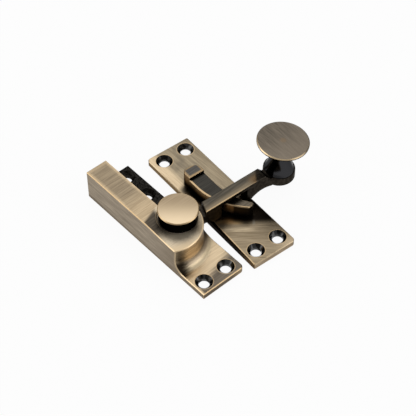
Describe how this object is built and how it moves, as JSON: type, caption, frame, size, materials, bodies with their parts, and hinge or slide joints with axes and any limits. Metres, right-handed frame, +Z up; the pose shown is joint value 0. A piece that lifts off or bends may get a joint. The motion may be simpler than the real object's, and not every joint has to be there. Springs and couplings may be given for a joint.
{
  "type": "quadrant fastener",
  "caption": "Sash window quadrant fastener: a body with a sprung swinging arm and a flat knob, and a keeper with a curved ramp bar that the arm draws home.",
  "frame": {"origin": "midway between the body's two front screw holes, on the face that lies on the sash rail", "axes": "+X from the body to the keeper, +Y along the body to its rear end, +Z up out of the sash rail"},
  "size_m": [0.0737, 0.0735, 0.0251],
  "materials": {
    "antique_brass": "blackened and brushed back",
    "blackened_brass": "blackened, brushed on top",
    "spring_steel": "plain"
  },
  "bodies": {
    "base": {"body_casting": "antique_brass", "flat_spring": "spring_steel", "keeper_plate": "antique_brass"},
    "arm": {"arm": "blackened_brass", "pivot_spindle": "antique_brass", "detent_cam": "spring_steel", "pivot_washer": "spring_steel", "knob": "antique_brass"}
  },
  "joints": [
    {"name": "arm_swing", "type": "hinge", "parent": "base", "child": "arm", "pos_m": [0.00225, 0.0237, 0], "axis": [0, 0, 1], "range_deg": [0, 92.9], "deforming": ["flat_spring"]}
  ]
}
